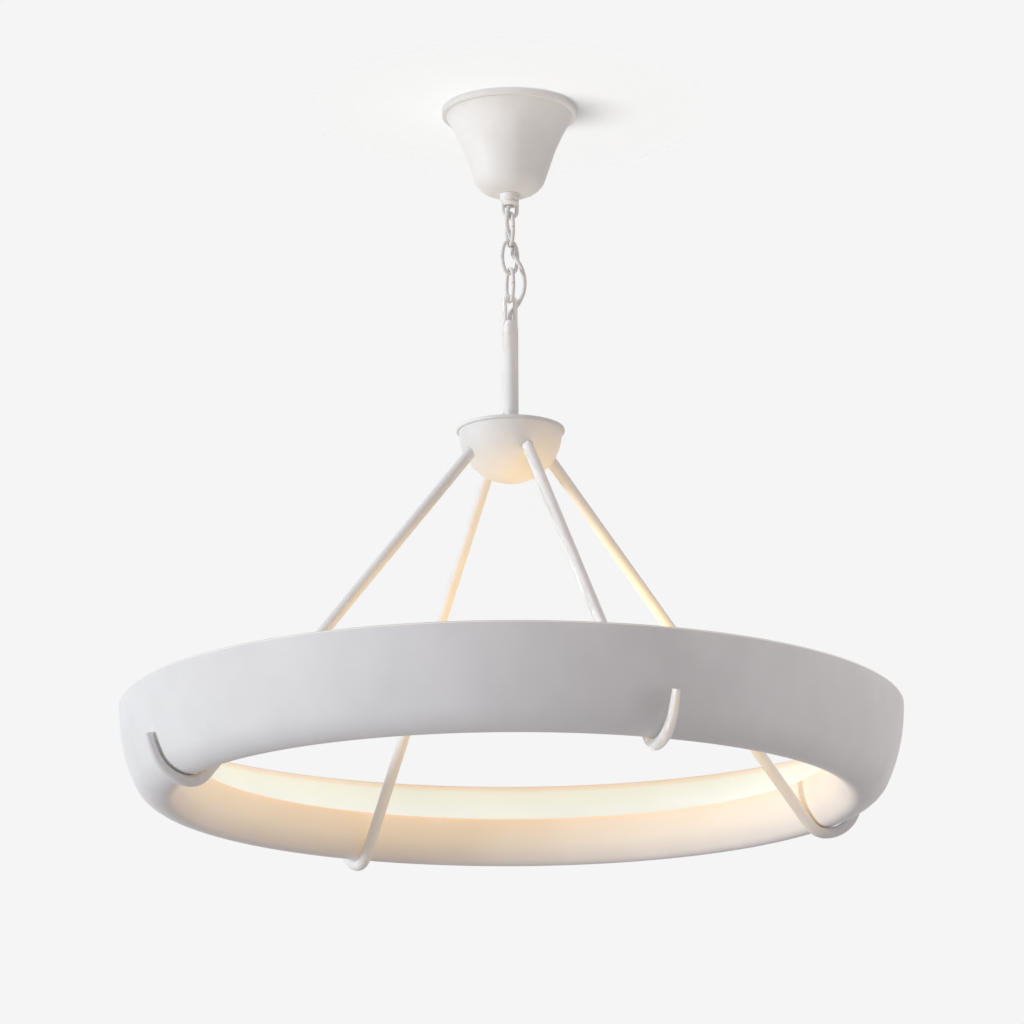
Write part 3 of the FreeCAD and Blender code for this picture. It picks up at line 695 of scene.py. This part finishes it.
def makeCeiling(spec):
    material, tree, shader = paleStage(
        "paleCeiling", spec["ceilingColour"], spec["ceilingGlow"], spec["roughness"])
    place = tree.nodes.new("ShaderNodeTexCoord")
    away = tree.nodes.new("ShaderNodeVectorMath")
    away.operation = "LENGTH"
    link(tree, place.outputs["Object"], away.inputs[0])
    edge = tree.nodes.new("ShaderNodeMapRange")
    edge.interpolation_type = "SMOOTHSTEP"
    edge.inputs["From Min"].default_value = spec["ceilingFade"]
    edge.inputs["From Max"].default_value = spec["ceilingReach"]
    link(tree, away.outputs["Value"], edge.inputs["Value"])
    facing = tree.nodes.new("ShaderNodeNewGeometry")
    clear = tree.nodes.new("ShaderNodeMath")
    clear.operation = "MAXIMUM"
    link(tree, edge.outputs["Result"], clear.inputs[0])
    link(tree, facing.outputs["Backfacing"], clear.inputs[1])
    seeThrough(tree, shader, clear.outputs[0])
    sides = spec["ceilingSides"]
    corners = []
    for reach in (spec["ceilingHole"], spec["ceilingReach"]):
        for i in range(sides):
            turn = 2 * math.pi * i / sides
            corners.append((reach * math.cos(turn), reach * math.sin(turn), spec["ceilingHeight"]))
    faces = [(i, (i + 1) % sides, sides + (i + 1) % sides, sides + i) for i in range(sides)]
    return stagePiece("ceiling", corners, faces, material)  # its faces look down


def makeSky(spec):
    world = bpy.data.worlds.new("sky")
    scene.world = world
    world.use_nodes = True
    tree = world.node_tree
    shader = tree.nodes["Background"]
    place = tree.nodes.new("ShaderNodeTexCoord")
    split = tree.nodes.new("ShaderNodeSeparateXYZ")
    link(tree, place.outputs["Generated"], split.inputs[0])
    level = ramp(tree, split.outputs["Z"], spec["skyLevel"], spec["skyAbove"], 0.0, 1.0)
    pick = tree.nodes.new("ShaderNodeMix")
    link(tree, seenDirectly(tree), pick.inputs[0])
    link(tree, level, pick.inputs[2])
    pick.inputs[3].default_value = spec["background"]
    tint = blendColour(tree, seenDirectly(tree), spec["skyTint"], (1.0, 1.0, 1.0))
    link(tree, tint, shader.inputs["Color"])
    link(tree, pick.outputs[0], shader.inputs["Strength"])


makeFloor(stage)
ceiling = makeCeiling(stage)
makeSky(stage)

# soft lamps far off, by where each stands as seen from the ring, in degrees
farLamps = {
    "keyLeft": {"turn": 174.0, "rise": 1.5, "level": 1.9, "soft": 14.0, "colour": (0.88, 0.95, 1.0)},
    "keyRing": {"turn": 174.0, "rise": -5.0, "level": 1.84, "soft": 14.0, "colour": (0.88, 0.95, 1.0)},
    "keyHub": {"turn": 174.0, "rise": 1.5, "level": 1.6, "soft": 14.0, "colour": (0.88, 0.95, 1.0)},
    "fillRight": {"turn": -20.0, "rise": 1.5, "level": 0.55, "soft": 14.0, "colour": (1.0, 1.0, 1.0)},
    "fillBack": {"turn": 66.0, "rise": 12.0, "level": 0.5, "soft": 40.0, "colour": (1.0, 1.0, 1.0)},
    "liftFront": {"turn": 258.0, "rise": -30.0, "level": 0.45, "soft": 30.0, "colour": (1.0, 0.88, 0.72)},
    "liftArms": {"turn": 258.0, "rise": -30.0, "level": 0.9, "soft": 30.0, "colour": (1.0, 0.86, 0.66)},
    "liftCanopy": {"turn": 225.0, "rise": -62.0, "level": 1.1, "soft": 30.0, "colour": (1.0, 0.91, 0.8)},
    "liftLeft": {"turn": 162.0, "rise": -52.0, "level": 2.1, "soft": 30.0, "colour": (1.0, 1.0, 1.0)},
}
# warm lamps in the middle, for the light that the trough throws on the arms and the hub
middleLamps = {
    "radius": 0.05,
    "colour": (1.0, 0.61, 0.14),
    "places": [((0.09, -0.13, -0.62), 0.75), ((0.06, 0.03, -0.66), 0.75)],  # place and watts
    "leftPlace": ((-0.07, -0.07, -0.62), 0.4),  # nearer, for the front left arm alone
}


def farLamp(name, spec):
    data = bpy.data.lights.new(name, "SUN")
    data.energy = spec["level"]
    data.angle = math.radians(spec["soft"])
    data.color = spec["colour"]
    lamp = bpy.data.objects.new(name, data)
    turn, rise = math.radians(spec["turn"]), math.radians(spec["rise"])
    towards = Vector((math.cos(turn) * math.cos(rise), math.sin(turn) * math.cos(rise), math.sin(rise)))
    lamp.rotation_euler = towards.to_track_quat("Z", "Y").to_euler()
    scene.collection.objects.link(lamp)
    return lamp


def linkedGroup(name, pieces, state):
    group = bpy.data.collections.new(name)
    for piece in pieces:
        group.objects.link(piece)
    for entry in group.collection_objects:
        entry.light_linking.link_state = state
    return group


def lightOnly(lamp, pieces):
    lamp.light_linking.receiver_collection = linkedGroup(lamp.name + "Lit", pieces, "INCLUDE")


def keepOff(lamp, pieces):
    lamp.light_linking.receiver_collection = linkedGroup(lamp.name + "Unlit", pieces, "EXCLUDE")


def blockedBy(lamp, pieces, state):
    lamp.light_linking.blocker_collection = linkedGroup(lamp.name + "Blockers", pieces, state)


lamps = {name: farLamp(name, spec) for name, spec in farLamps.items()}
ringPiece = bpy.data.objects["ring_shade_glow"]
armPieces = [bpy.data.objects[name + "_bar"] for name in arms["turns"]]
keepOff(lamps["keyLeft"], [ceiling, ringPiece, nodes["canopy"], nodes["hub_cup"]])
lightOnly(lamps["keyRing"], [ringPiece])
lightOnly(lamps["keyHub"], [nodes["canopy"], nodes["hub_cup"]])
blockedBy(lamps["keyHub"], armPieces, "EXCLUDE")
lightOnly(lamps["fillRight"], [ringPiece])
keepOff(lamps["fillBack"], [ceiling])
lightOnly(lamps["liftFront"], [nodes[n] for n in ("stem_loop", "stem_tube", "hub_cup")])
lightOnly(lamps["liftArms"], [bpy.data.objects["arm_front_right_bar"]])
lightOnly(lamps["liftCanopy"], [nodes[n] for n in ("canopy", "screw_collar", "hang_loop")])
lightOnly(lamps["liftLeft"], [ceiling])
blockedBy(lamps["liftLeft"], [nodes["canopy"]], "INCLUDE")  # the canopy's shadow on the ceiling


def middleLamp(name, spec, place, watts):
    data = bpy.data.lights.new(name, "POINT")
    data.energy = watts
    data.color = spec["colour"]
    data.shadow_soft_size = spec["radius"]
    lamp = bpy.data.objects.new(name, data)
    lamp.location = place
    lamp.visible_camera = False
    scene.collection.objects.link(lamp)
    return lamp


leftArm = bpy.data.objects["arm_front_left_bar"]
unlit = [ceiling, ringPiece, leftArm] + [nodes[n] for n in ("diffuser", "hub_cover", "canopy")]
for index, (place, watts) in enumerate(middleLamps["places"]):
    keepOff(middleLamp("middleLamp%d" % index, middleLamps, place, watts), unlit)
lightOnly(middleLamp("leftLamp", middleLamps, *middleLamps["leftPlace"]), [leftArm])
print("stage set")
